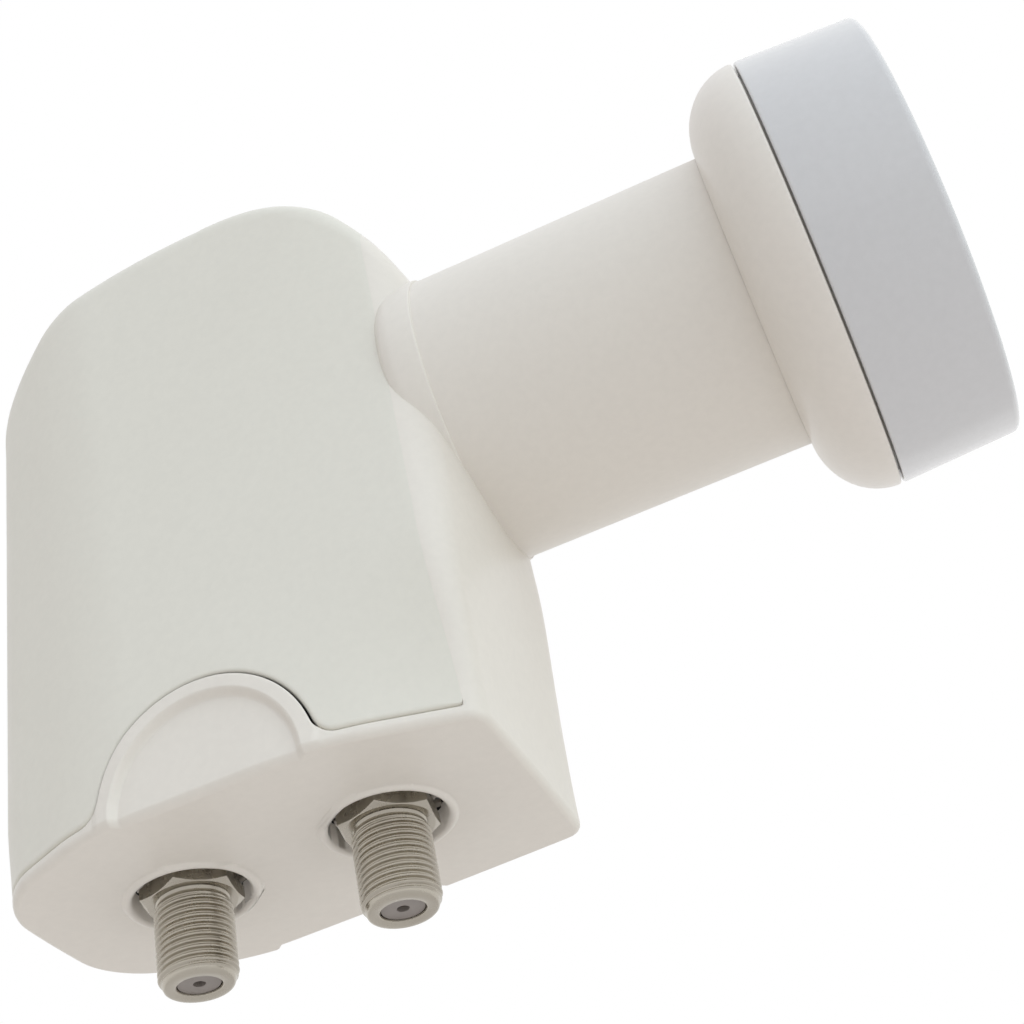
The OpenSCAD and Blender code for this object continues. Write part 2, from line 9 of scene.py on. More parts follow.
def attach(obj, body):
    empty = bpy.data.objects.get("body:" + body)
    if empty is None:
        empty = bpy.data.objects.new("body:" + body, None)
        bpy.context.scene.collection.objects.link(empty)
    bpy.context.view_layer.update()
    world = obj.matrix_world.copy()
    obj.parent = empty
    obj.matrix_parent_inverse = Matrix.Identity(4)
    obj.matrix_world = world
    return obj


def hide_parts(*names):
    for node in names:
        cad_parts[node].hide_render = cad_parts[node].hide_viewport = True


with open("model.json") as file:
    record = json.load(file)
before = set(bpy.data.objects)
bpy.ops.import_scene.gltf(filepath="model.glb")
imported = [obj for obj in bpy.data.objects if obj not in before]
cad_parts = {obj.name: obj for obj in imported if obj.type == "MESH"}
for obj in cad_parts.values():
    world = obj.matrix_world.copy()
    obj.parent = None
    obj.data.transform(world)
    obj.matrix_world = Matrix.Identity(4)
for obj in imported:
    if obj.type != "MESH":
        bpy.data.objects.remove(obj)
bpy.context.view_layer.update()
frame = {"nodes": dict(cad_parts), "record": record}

# Lengths in this script are millimetres in the row frame, up to the meshes
MM = 0.001

# Housing, whose own frame has X forward from the middle of the port row, and Z up
BODY_X = -55.0
FRONT_LEN, BACK_LEN = 31.1, 33.6
HALF_W, DEPTH = 20.6, 54.0
BASE_Z, AXIS_Z = -DEPTH, 8.0
ROOF_H, ROOF_MID, ROOF_SLOPE = 37.8, 6.5, 1.3
BROW_H, BROW_FULL = 21.8, 2.8
KNEE_H, KNEE_FULL = 20.0, 2.06
TOE_IN, TOE_H = 0.8, 12
BACK_BOW, BOW_FADE = 0.003, 20
SHELL_WALL, BASE_RIM = 2.2, 1.7

# Upright creases: where they start at the bottom, and how far they lean by the top
CREASE_H, CREASE_CURVE, CREASE_ROUND = 74, 1.7, 2.4
FRONT_CREASE, FRONT_LEAN = 13.4, FRONT_LEN - 20.5
BACK_CREASE, BACK_LEAN = 14.6, 2
BACK_END = (BACK_LEN - 0.6, HALF_W - 8)

# How far the front corners are drawn in on the near and the far side, low and high
DRAW_LOW, DRAW_HIGH, DRAW_H = (6.4, 1.2), (1.8, 0.8), 26

# Rounds along the roof and the front, and where they widen
ROOF_ROUND, BACK_EASE, EASE_X, EASE_Z, EASE_RUN = 4.0, 2.5, -10, 18, 14
CROWN_LOW, FRONT_CROWN, CROWN_H, CROWN_FULL = 0.6, 4.0, 34, 3.5
CORNER_R, CORNER_WIDEN = 2, 1.5
CORNER_SIDE, CORNER_SIDE_RUN, CORNER_Z, CORNER_RUN = 10, 6, -44, 26
EDGE_R = 1.0

# Seam between cover and moulding, and the arched tabs
SEAM_Z, CUT_X = BASE_Z + BASE_RIM, FRONT_LEN - 1.5
SEAM_GAP, FRONT_GAP, FRONT_RIM = 0.06, -0.02, 0.03
COVER_RIM, MOULDING_RIM = 0.55, 0.45
SEAM_ROUND, SEAM_CORNER = 2.4, 0.3
ARCH_R, ARCH_RIM, ARCH_RECESS, ARCH_PROUD = 14.0, 2.3, 0.8, 0.2
ARCH_Z, ARCH_SIDE = BASE_Z + 0.4, HALF_W - 5.5
MOULDING_WALL, PORT_WALL, PORT_WALL_R = 1.3, 2.9, 9

# Neck and feed cap
NECK_R, NECK_WALL, NECK_HOLE = 20.0, 2.2, 1.5
BOSS_R, BOSS_X, BOSS_END = NECK_R + 0.35, 29.0, 34.6
CAP_R, SHELL_X, SHELL_LEN, CAP_LEN = 29.145, 19.9, 8.8, 15.9
CAP_ROUND, CAP_DRAFT, CAP_DOME, CAP_WALL, CAP_LAP = 1.0, 0.8, 0.9, 1.8, 4.5
JOINT_HALF, JOINT_LIP, LAP_GAP = 0.15, 0.35, 0.1

# Ports, nuts and washers
PORTS = (-13.2, 13.2)
THREAD_R, THREAD_PITCH, THREAD_DEPTH = 4.7625, 0.79375, 0.42
PORT_HOLE_R, PORT_LIP_R, PORT_LIP_H = 7.2, 8.2, 0.5
SOCKET_R, SOCKET_DEPTH, SHANK_R, PORT_BORE_R = 2.65, 0.9, 4.4925, 2.2
FLANGE_R, FLANGE_LOW, FLANGE_TOP = 6.3, -47.8, -46.2
THREAD_Z, NUT_Z = BASE_Z - 11.8, BASE_Z - 0.9
NUT_AF, NUT_H, NUT_TURN = 11.0, 2.4, math.radians(39)
WASHER_R, WASHER_RING_R, WASHER_TEETH = 6.5, 5.7, 16

# Rings of the housing's mesh
SKIN_AROUND = 280
BASE_SHARES = (0.02, 0.25, 0.45, 0.62, 0.76, 0.87, 0.95)
EDGE_BAND = 10
EDGE_LIFTS = (-10, -7.5, -5.5, -4, -2.8, -1.8, -0.9, 0, 0.9, 1.8, 2.8, 4, 5.5, 7.5, 10)

# Lines along which the mesh is cut, so that rims, lips and steps come out smooth
COVER_CUTS = (-1.2, -1.0, -0.8, -0.62, -0.46, -0.32, -0.2, -0.11, -0.05, -0.015, 0.0)
MOULDING_CUTS = (-0.9, -0.75, -0.6, -0.45, -0.32, -0.2, -0.11, -0.05, -0.015, 0.0)
HOLE_CUTS, LIP_CUTS = (0, 0.08, 0.2, 0.35), (-0.45, -0.25, -0.1, 0, 0.3, 0.7)
ARCH_CUTS = (-1.0, -0.6, -0.35, -0.1, 0.15, 0.4, 0.6, 0.8)
SNAP = 0.0012

# Floor, in metres
FLOOR_Z, FLOOR_R = -0.32, 1.1

# Soft light panels round the object: direction and colour
PANEL_FOCUS = 3.0
PANELS = [
    ((1, 0, 0), (0.80, 0.94, 0.90)), ((-1, 0, 0), (0.10, 0.08, 0.04)),
    ((0, 1, 0), (0.48, 0.50, 0.50)), ((0, -1, 0), (0.20, 0.20, 0.23)),
    ((0, 0, 1), (0.80, 0.80, 0.87)), ((1, 1, 1), (0.12, 0.05, 0.02)),
    ((1, 1, -1), (0.55, 0.56, 0.55)), ((1, -1, 1), (1.08, 1.19, 1.28)),
    ((1, -1, -1), (0.42, 0.41, 0.40)), ((-1, 1, 1), (0.26, 0.24, 0.21)),
    ((-1, 1, -1), (0.38, 0.40, 0.40)), ((-1, -1, 1), (0.46, 0.48, 0.48)),
    ((-1, -1, -1), (0.13, 0.10, 0.07)),
]


def ramp(t):
    """A smooth step from 0 to 1 while t goes from 0 to 1."""
    t = np.clip(t, 0, 1)
    return t * t * (3 - 2 * t)


def blend(a, b, r):
    """The larger of two distances, with a round of radius r where they meet."""
    u, v = np.maximum(a + r, 0), np.maximum(b + r, 0)
    return np.where((u > 0) & (v > 0), np.hypot(u, v) - r, np.maximum(a, b))


def union(a, b, r):
    """The smaller of two distances, with a fillet of radius r where they meet."""
    return -blend(-a, -b, r)


def roof_line(x):
    """Height of the roof along the middle: a brow in front and a knee at the back."""
    front = np.clip((x - ROOF_MID) / (FRONT_LEN - ROOF_MID), 0, 2)
    back = np.clip((ROOF_MID - x) / (BACK_LEN + ROOF_MID), 0, 1)
    rear = KNEE_H + (ROOF_H - KNEE_H) * (1 - back ** KNEE_FULL) ** (1 / KNEE_FULL)
    return np.where(x > ROOF_MID, ROOF_H - (ROOF_H - BROW_H) * front ** BROW_FULL, rear)


def knee_far(x, z):
    """Distance from the superellipse that joins the roof and the back."""
    run, rise = BACK_LEN + ROOF_MID, ROOF_H - KNEE_H
    u, v = np.abs(ROOF_MID - x) / run, np.abs(z - KNEE_H) / rise
    around = np.maximum((u ** KNEE_FULL + v ** KNEE_FULL) ** (1 / KNEE_FULL), 1e-4)
    e = KNEE_FULL - 1
    slope = np.hypot(u ** e / run, v ** e / rise)
    return (around - 1) * around ** e / np.maximum(slope, 1e-6)


def roof_far(x, y, z):
    """Distance from the roof and the bowed back."""
    lift = (x - ROOF_MID) / (FRONT_LEN - ROOF_MID)
    slope = ROOF_SLOPE * (ROOF_H - BROW_H) / FRONT_LEN * lift
    front = (z - roof_line(x)) / np.hypot(1, slope)
    toe = TOE_IN * (1 - ramp((z + DEPTH) / TOE_H))
    bow = BACK_BOW * y * y
    back = bow - x - BACK_LEN + toe
    knee = knee_far(x, z) + bow * (1 - ramp((z - KNEE_H) / BOW_FADE))
    return np.where(x > ROOF_MID, front, np.where(z < KNEE_H, back, knee))


def slant(x, y, crease, end_x, end_y):
    """Distance from the flat panel that leaves the side at a crease."""
    run = np.hypot(end_x - crease, HALF_W - end_y)
    return ((x - crease) * (HALF_W - end_y) + (y - HALF_W) * (end_x - crease)) / run


def housing(p):
    """Signed distance to the outside of the housing, from the middle of the port row."""
    x, y, z = p[:, 0], p[:, 1], p[:, 2]
    side = np.abs(y)
    lean = np.maximum(0, (z + DEPTH) / CREASE_H) ** CREASE_CURVE
    low, high = (np.where(y < 0, HALF_W - near, HALF_W - far)
                 for near, far in (DRAW_LOW, DRAW_HIGH))
    front_y = low + (high - low) * ramp((z + DEPTH) / DRAW_H)
    front = slant(x, side, FRONT_CREASE + FRONT_LEAN * lean, FRONT_LEN, front_y)
    back = slant(-x, side, BACK_CREASE + BACK_LEAN * lean, *BACK_END)
    walls = blend(blend(side - HALF_W, front, CREASE_ROUND), back, CREASE_ROUND)
    ease = ramp((EASE_X - x) / EASE_RUN) * (1 - ramp((z - EASE_Z) / EASE_RUN))
    top = blend(walls, roof_far(x, y, z), ROOF_ROUND + BACK_EASE * ease)
    swell = CROWN_LOW + (FRONT_CROWN - CROWN_LOW) * ramp((z + DEPTH) / CROWN_H)
    crown = swell * (1 - np.minimum(1, side / HALF_W) ** CROWN_FULL)
    widen = ramp((side - CORNER_SIDE) / CORNER_SIDE_RUN) * ramp((z - CORNER_Z) / CORNER_RUN)
    return blend(top, x - FRONT_LEN - crown, CORNER_R + CORNER_WIDEN * widen)


def gradient(measure, p, step=0.02):
    out = np.empty_like(p)
    for i in range(3):
        d = np.zeros(3)
        d[i] = step
        out[:, i] = (measure(p + d) - measure(p - d)) / (2 * step)
    return out


def unit(v):
    return v / np.maximum(np.linalg.norm(v, axis=1), 1e-9)[:, None]


def outward(p):
    """The housing's normals at points on it."""
    return unit(gradient(housing, p))


def march(z, way, inset=0.0):
    """Where rays from height z on the housing's middle line pass its surface."""
    origin = np.array([[0.0, 0, z]])
    low, high = np.zeros(len(way)), np.full(len(way), 90.0)
    for _ in range(30):
        mid = (low + high) / 2
        outside = housing(origin + mid[:, None] * way) + inset > 0
        high, low = np.where(outside, mid, high), np.where(outside, low, mid)
    return origin + mid[:, None] * way


class Skin:
    """Triangles with a normal at each point, kept as arrays."""

    def __init__(self, points, normals, tris):
        self.points, self.normals, self.tris = points, normals, tris

    def split(self, measure, level=0.0):
        """Cuts the triangles along the line where measure has that level."""
        value = measure(self.points) - level
        value[np.abs(value) < SNAP] = 0
        sign = np.sign(value)[self.tris].astype(int)
        plus, minus = (sign > 0).sum(1), (sign < 0).sum(1)
        keep = (plus == 0) | (minus == 0)
        odd = np.where(~keep & (plus + minus == 3))[0]
        tie = np.where(~keep & (plus + minus == 2))[0]
        first = np.concatenate([
            np.argmax(sign[odd] == np.where(plus[odd] == 1, 1, -1)[:, None], axis=1),
            np.argmax(sign[tie] == 0, axis=1)])
        turn = (first[:, None] + np.arange(3)) % 3
        a, b, c = np.take_along_axis(self.tris[np.concatenate([odd, tie])], turn, 1).T
        n = len(odd)
        pairs = np.concatenate([np.stack([a[:n], b[:n]], 1), np.stack([a[:n], c[:n]], 1),
                                np.stack([b[n:], c[n:]], 1)])
        unique, index = np.unique(np.sort(pairs, axis=1), axis=0, return_inverse=True)
        index = index.reshape(-1) + len(self.points)
        i, j = unique.T
        t = (value[i] / (value[i] - value[j]))[:, None]
        self.points = np.vstack([self.points, self.points[i] * (1 - t) + self.points[j] * t])
        self.normals = np.vstack([self.normals,
                                  unit(self.normals[i] * (1 - t) + self.normals[j] * t)])
        p, q, m = index[:n], index[n:2 * n], index[2 * n:]
        self.tris = np.concatenate([
            self.tris[keep], np.stack([a[:n], p, q], 1), np.stack([p, b[:n], c[:n]], 1),
            np.stack([p, c[:n], q], 1), np.stack([a[n:], b[n:], m], 1),
            np.stack([a[n:], m, c[n:]], 1)])

    def keep_where(self, measure):
        """Keeps the triangles whose middles have a measure below zero."""
        middle = self.points[self.tris].mean(1)
        used, index = np.unique(self.tris[measure(middle) < 0], return_inverse=True)
        self.points, self.normals = self.points[used], self.normals[used]
        self.flat_normals = self.normals.copy()
        self.tris = index.reshape(-1, 3)

    def push(self, height, way=None):
        """Moves the points by a height that varies over space, along their normals or way."""
        way = self.normals if way is None else way(self.points)
        lift, slope = height(self.points), gradient(height, self.points, 0.004)
        facing = (way * self.normals).sum(1) / (1 + (way * slope).sum(1))
        self.points = self.points + lift[:, None] * way
        self.normals = unit(self.normals - facing[:, None] * slope)

    def roll_rim(self, measure, full_r):
        """Rounds the skin inward up to its rim, where measure is zero."""
        def height(p):
            r = full_r + (FRONT_RIM - full_r) * in_front(p)
            run = np.clip((measure(p) + r) / r, 0, 0.999)
            return r * np.sqrt(1 - run * run) - r
        self.push(height)


def rim_edges(tris):
    """Edges that only one triangle uses, in that triangle's direction."""
    edges = np.concatenate([tris[:, [0, 1]], tris[:, [1, 2]], tris[:, [2, 0]]])
    _, index, count = np.unique(np.sort(edges, axis=1), axis=0, return_inverse=True,
                                return_counts=True)
    return edges[count[index.reshape(-1)] == 1]


def thicken(skin, depth):
    """Closes a skin into a wall: an inner skin set in along the flat normals, and its rim."""
    points, tris, n = skin.points, skin.tris, len(skin.points)
    back = points - np.reshape(depth, (-1, 1)) * skin.flat_normals
    a, b = rim_edges(tris).T
    wall = np.concatenate([np.stack([a, a + n, b], 1), np.stack([b, a + n, b + n], 1)])
    wall_normals = np.concatenate([np.stack([a, a, b], 1), np.stack([b, a, b], 1)])
    normals = np.concatenate([
        skin.normals[tris].reshape(-1, 3), -skin.flat_normals[tris][:, ::-1].reshape(-1, 3),
        skin.normals[wall_normals].reshape(-1, 3)])
    return np.vstack([points, back]), np.concatenate([tris, tris[:, ::-1] + n, wall]), normals


def piece(name, points, faces, material, replaces=(), normals=None, angle=None):
    """A mesh object from points in millimetres, riding on the part's only body."""
    mesh = bpy.data.meshes.new(name)
    mesh.from_pydata((np.asarray(points) * MM).tolist(), [], faces.tolist())
    mesh.polygons.foreach_set("use_smooth", [True] * len(mesh.polygons))
    if normals is not None:
        mesh.normals_split_custom_set(np.asarray(normals).tolist())
    elif angle is not None:
        mesh.set_sharp_from_angle(angle=math.radians(angle))
    mesh.update()
    mesh.materials.append(material)
    obj = bpy.data.objects.new(name, mesh)
    bpy.context.scene.collection.objects.link(obj)
    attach(obj, "root")
    for node in replaces:
        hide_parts(node)
    return obj


def circle(r, z, turn):
    """A ring of points at the angles turn; r and z may vary along it."""
    return np.stack([r * np.cos(turn), r * np.sin(turn), np.full(len(turn), z)], 1)


def full_turn(count):
    return np.linspace(0, 2 * np.pi, count, endpoint=False)


def grid_tris(rings, around):
    """Two triangles for each cell of a grid of rings, wound outward."""
    j, k = np.meshgrid(np.arange(rings - 1), np.arange(around), indexing="ij")
    q = (k + 1) % around
    a, b, c, d = j * around + k, j * around + q, (j + 1) * around + q, (j + 1) * around + k
    return np.concatenate([np.stack([a, b, c], -1).reshape(-1, 3),
                           np.stack([a, c, d], -1).reshape(-1, 3)])


def loop_quads(rings, around, start=0):
    """Faces of a closed tube of rings whose last ring joins the first."""
    j, k = np.meshgrid(np.arange(rings), np.arange(around), indexing="ij")
    q, up = (k + 1) % around, (j + 1) % rings
    quads = np.stack([j * around + k, j * around + q, up * around + q, up * around + k], -1)
    return quads.reshape(-1, 4) + start


def bearings(count):
    """Directions round the upright axis, evenly spaced along the housing's outline."""
    fine = np.linspace(0, 2 * np.pi, 2881)
    line = march(-20, circle(1, 0.0, fine))
    run = np.concatenate([[0], np.cumsum(np.linalg.norm(np.diff(line, axis=0), axis=1))])
    return np.interp(np.arange(count) / count * run[-1], run, fine)


def base_rings(flat):
    """Rings over the flat bottom and round its edge, from the middle outward."""
    edge = march(BASE_Z, flat, EDGE_R)
    down = np.tile([0.0, 0, -1], (len(flat), 1))
    rings = [(edge * np.array([share, share, 1]), down) for share in BASE_SHARES]
    for t in np.radians(np.arange(0, 90, 11.25)):
        p = march(BASE_Z + EDGE_R - EDGE_R * math.cos(t), flat, EDGE_R - EDGE_R * math.sin(t))
        rings.append((p, unit(math.sin(t) * outward(p) + math.cos(t) * down)))
    return rings


def roof_rings(flat, level):
    """Rings from the walls' last ring, level, over the roof's edge to its middle."""
    reach = np.hypot(level[:, 0], level[:, 1])
    edge = np.degrees(np.arctan2(np.maximum(2, roof_line(level[:, 0]) - AXIS_Z), reach))
    edge = np.maximum(6, edge)
    snug = np.minimum(1, edge / 16)
    band = EDGE_BAND * snug
    lifts = [edge * share * (1 - band / edge) for share in np.linspace(0, 1, 16)[1:-1]]
    lifts += [edge + lift * snug for lift in EDGE_LIFTS]
    lifts += [edge + band + (90 - edge - band) * share
              for share in np.linspace(0, 1, 26)[1:-1]]
    rings = []
    for e in np.radians(lifts):
        p = march(AXIS_Z, np.stack([np.cos(e) * flat[:, 0], np.cos(e) * flat[:, 1],
                                    np.sin(e)], 1))
        rings.append((p, outward(p)))
    return rings


def housing_skin(levels, with_base=False):
    """The outside of the housing as rings: up the walls, over the roof edge, to the top."""
    flat = circle(1, 0.0, bearings(SKIN_AROUND))
    rings = base_rings(flat) if with_base else []
    for z in levels:
        p = march(z, flat)
        rings.append((p, outward(p)))
    rings += roof_rings(flat, p)
    top = march(AXIS_Z, np.array([[0.0, 0, 1]]))
    points = np.vstack([points for points, _ in rings] + [top])
    normals = np.vstack([normals for _, normals in rings] + [outward(top)])
    n = len(rings)
    k = np.arange(SKIN_AROUND)
    q = (k + 1) % SKIN_AROUND
    tris = [grid_tris(n, SKIN_AROUND),
            np.stack([(n - 1) * SKIN_AROUND + k, (n - 1) * SKIN_AROUND + q,
                      np.full(SKIN_AROUND, n * SKIN_AROUND)], 1)]
    if with_base:
        points = np.vstack([points, [[0, 0, BASE_Z]]])
        normals = np.vstack([normals, [[0, 0, -1.0]]])
        tris.append(np.stack([q, k, np.full(SKIN_AROUND, n * SKIN_AROUND + 1)], 1))
    return Skin(points, normals, np.concatenate(tris))


def arch_far(p):
    """Distance from the arch's circle in the side walls, negative inside it."""
    z = np.maximum(p[:, 2] - ARCH_Z, 0)
    inward = np.maximum(ARCH_SIDE - np.abs(p[:, 1]), 0)
    return np.hypot(p[:, 0], z) - ARCH_R + 12 * inward


def moulding(p):
    """Negative where the surface belongs to the front moulding."""
    lower = union(p[:, 2] - SEAM_Z, arch_far(p), SEAM_ROUND)
    return union(lower, CUT_X - p[:, 0], SEAM_CORNER)


def in_front(p):
    """1 along the upright seam in front, 0 a little behind it."""
    return (1 - ramp((CUT_X - p[:, 0]) / 2.5)) * ramp(p[:, 2] - SEAM_Z + 0.2)


def cover_rim(p):
    """Negative on the cover: a gap is open below and round the arch, and shut in front."""
    front = in_front(p)
    return FRONT_GAP * front + SEAM_GAP * (1 - front) - moulding(p)


def port_far(p):
    """Distance from the nearer port's axis."""
    return np.minimum(*(np.hypot(p[:, 0] - x, p[:, 1]) for x in PORTS))


def port_hole(p):
    """The same on the bottom, and far from any hole above it."""
    return port_far(p) + np.where(p[:, 2] < BASE_Z + 0.3, 0.0, 50.0)


def neck_hole(p):
    """Positive where the neck opens the front wall."""
    inside = NECK_R - NECK_HOLE - np.hypot(p[:, 1], p[:, 2])
    return np.where(p[:, 0] > 12, inside, -50.0)


def lip_height(p):
    """A half-round lip round each port hole."""
    middle, half = (PORT_HOLE_R + PORT_LIP_R) / 2 + 0.05, (PORT_LIP_R - PORT_HOLE_R) / 2 + 0.2
    run = np.clip(np.abs(port_hole(p) - middle) / half, 0, 1)
    return PORT_LIP_H * (1 - run ** 2.2) ** 1.2


def arch_height(p):
    """The arch stands proud of the side; its panel lies deeper, down to the bottom."""
    arch = arch_far(p)
    edge = ramp((np.abs(p[:, 1]) - ARCH_SIDE) / 4)
    fade = ramp((p[:, 2] - BASE_Z - 0.02) / EDGE_R)
    proud = ARCH_PROUD * (1 - ramp((arch + 0.2) / 0.6)) * fade
    sink = (ARCH_PROUD + ARCH_RECESS) * (1 - ramp((arch + ARCH_RIM + 0.6) / 1.2))
    return (proud - sink) * edge


def sideways(p):
    return np.stack([np.zeros(len(p)), np.sign(p[:, 1]), np.zeros(len(p))], 1)


def build_cover(material):
    """The housing cover: roof, sides and back down to the seam."""
    skin = housing_skin(np.linspace(BASE_Z + 0.6, AXIS_Z, 80))
    for level in COVER_CUTS:
        skin.split(cover_rim, level)
    skin.keep_where(cover_rim)
    skin.roll_rim(cover_rim, COVER_RIM)
    points, tris, normals = thicken(skin, SHELL_WALL - 0.5)
    piece("housing_cover", points + [BODY_X, 0, 0], tris, material,
          ["rear_cover"], normals)


def build_moulding(material):
    """Front wall, bottom plate and arched tabs as one skin."""
    levels = np.concatenate([BASE_Z + EDGE_R + np.array([0, 0.4]),
                             np.linspace(SEAM_Z, AXIS_Z, 78)])
    skin = housing_skin(levels, with_base=True)
    for radius in [PORT_HOLE_R + cut for cut in HOLE_CUTS] + [PORT_LIP_R + cut
                                                              for cut in LIP_CUTS]:
        skin.split(port_hole, radius)
    for cut in ARCH_CUTS:
        skin.split(arch_far, cut - ARCH_RIM)
    for level in MOULDING_CUTS:
        skin.split(moulding, level)
    skin.split(neck_hole)
    skin.keep_where(lambda p: np.maximum(moulding(p), np.maximum(PORT_HOLE_R - port_hole(p),
                                                                 neck_hole(p))))
    skin.push(lip_height)
    skin.push(arch_height, sideways)
    skin.roll_rim(moulding, MOULDING_RIM)
    p = skin.points
    by_port = (p[:, 2] < BASE_Z + 0.1) & (port_far(p) < PORT_WALL_R)
    points, tris, normals = thicken(skin, np.where(by_port, PORT_WALL, MOULDING_WALL))
    piece("front_moulding", points + [BODY_X, 0, 0], tris, material, [],
          normals)


def turned(name, profile, material, replaces, angle, at=(0, 0, 0)):
    """A closed profile of (radius, distance) turned about X."""
    around = 320
    profile = np.asarray(profile, float)
    r, x = profile.T
    ring = np.stack([np.repeat(x[:, None], around, 1), r[:, None] * np.cos(full_turn(around)),
                     r[:, None] * np.sin(full_turn(around))], -1)
    quads = loop_quads(len(profile), around)
    if ((r - np.roll(r, -1)) * (x + np.roll(x, -1))).sum() < 0:
        quads = quads[:, ::-1]
    piece(name, ring.reshape(-1, 3) + np.asarray(at), quads, material, replaces,
          angle=angle)


def arc(cx, cy, rx, ry, start, stop, steps):
    turn = np.radians(np.linspace(start, stop, steps + 1))
    return [(cx + rx * math.cos(t), cy + ry * math.sin(t)) for t in turn]


def build_neck(material):
    """The neck sleeve, with its boss and the fine step where the boss ends."""
    end, inner = BOSS_END, NECK_R - NECK_WALL
    profile = [(inner, BOSS_X)]
    profile += [(BOSS_R - 1.8 * (1 - math.sin(t)), BOSS_X + 2.4 * (1 - math.cos(t)))
                for t in np.radians(np.arange(0, 91, 10))]
    profile += [(BOSS_R, end - 0.2), (BOSS_R - 0.03, end - 0.08), (BOSS_R - 0.12, end),
                (NECK_R + 0.04, end), (NECK_R, end + 0.05)]
    profile += [(NECK_R, x) for x in np.linspace(end + 2, SHELL_X - BODY_X, 12)]
    profile.append((inner, SHELL_X - BODY_X))
    turned("neck_sleeve", profile, material, ["front_body"], 35,
           (BODY_X, 0, 0))


def build_cap(shell_material, cap_material):
    """The feed cap: a round rear shell and the weather cap that laps over it."""
    joint = SHELL_X + SHELL_LEN
    lip = JOINT_HALF + JOINT_LIP
    lap = CAP_R - CAP_WALL - LAP_GAP
    socket, waist = NECK_R - 2.3, NECK_R - 3.9
    shell = [(socket, SHELL_X - 7), (socket, SHELL_X), (NECK_R + 0.05, SHELL_X)]
    shell += arc(NECK_R, joint - lip, CAP_R - NECK_R, SHELL_LEN - lip, -90, 0, 40)
    shell += arc(CAP_R - JOINT_LIP, joint - lip, JOINT_LIP, JOINT_LIP, 12, 90, 5)
    shell += [(lap, joint - JOINT_HALF), (lap, joint + CAP_LAP), (lap - 1.5, joint + CAP_LAP),
              (lap - 1.5, joint)]
    shell += arc(NECK_R - 1.2, joint, lap - 0.3 - NECK_R, SHELL_LEN - CAP_WALL, 0, -90, 24)
    shell += [(waist, joint - SHELL_LEN + CAP_WALL), (waist, SHELL_X - 7)]
    turned("rear_shell", shell, shell_material, ["horn_shell"], 50)

    face = joint + CAP_LEN
    edge = CAP_R - CAP_DRAFT - CAP_ROUND
    inner = face - CAP_WALL
    stop = joint + CAP_LAP + 0.8
    cap = arc(CAP_R - JOINT_LIP, joint + lip, JOINT_LIP, JOINT_LIP, -90, 0, 5)
    cap += arc(edge, face - CAP_ROUND, CAP_ROUND, CAP_ROUND, 3, 86, 10)
    cap += [(edge * (1 - i / 20), face + CAP_DOME * (1 - (1 - i / 20) ** 2))
            for i in range(1, 20)]
    cap += [(0.02, face + CAP_DOME), (0.02, inner + CAP_DOME)]
    cap += [(edge * i / 10, inner + CAP_DOME * (1 - (i / 10) ** 2)) for i in range(1, 11)]
    cap += [(lap - 1.1, inner - 1), (lap - 1.1, stop), (lap + LAP_GAP, stop),
            (lap + LAP_GAP, joint + JOINT_HALF)]
    turned("front_cap", cap, cap_material, ["horn_cap"], 50)


def at_ports(name, rings, material, node, angle):
    """One piece with a closed tube of rings at each port."""
    n, around = len(rings), len(rings[0])
    points = [np.vstack(rings) + [BODY_X + x, 0, 0] for x in PORTS]
    faces = [loop_quads(n, around, i * n * around) for i in range(len(PORTS))]
    piece(name, np.vstack(points), np.concatenate(faces), material, [node], angle=angle)


def thread_r(phase):
    """Radius of the thread at a share of its pitch: a flat crest, flanks, a round root."""
    away = np.abs(phase % 1.0 - 0.5) * 2
    return THREAD_R - THREAD_DEPTH * (1 - ramp((away - 0.12) / 0.72))


def build_barrels(material):
    """Threaded barrels: turned bore and face, a helical grid outside, and the flange."""
    turn, per_pitch = full_turn(120), 12
    low, top = THREAD_Z + 0.55, NUT_Z - 0.3
    rings = [circle(r, z, turn) for r, z in (
        (PORT_BORE_R, -47.0), (PORT_BORE_R, THREAD_Z + SOCKET_DEPTH),
        (SOCKET_R, THREAD_Z + SOCKET_DEPTH), (SOCKET_R, THREAD_Z + 0.3),
        (SOCKET_R + 0.08, THREAD_Z + 0.1), (SOCKET_R + 0.25, THREAD_Z),
        (THREAD_R - 0.95, THREAD_Z), (THREAD_R - 0.75, THREAD_Z + 0.05),
        (THREAD_R - 0.62, THREAD_Z + 0.16))]
    rows = int((top - low) / THREAD_PITCH * per_pitch)
    for i in range(rows + 1):
        z = low + (top - low) * i / rows
        r = thread_r((z - THREAD_Z) / THREAD_PITCH - turn / (2 * np.pi))
        r = np.minimum(r, THREAD_R - 0.45 * (1 - ramp((z - low) / 0.8)))
        cut = 1 - ramp((z - (top - 0.9)) / 0.7)
        rings.append(circle(r * cut + (THREAD_R - THREAD_DEPTH) * (1 - cut), z, turn))
    rings += [circle(r, z, turn) for r, z in (
        (SHANK_R, top + 0.05), (SHANK_R, FLANGE_LOW), (FLANGE_R, FLANGE_LOW),
        (FLANGE_R, FLANGE_TOP), (PORT_BORE_R, FLANGE_TOP))]
    at_ports("f_barrels", rings, material, "port_barrels", 72)


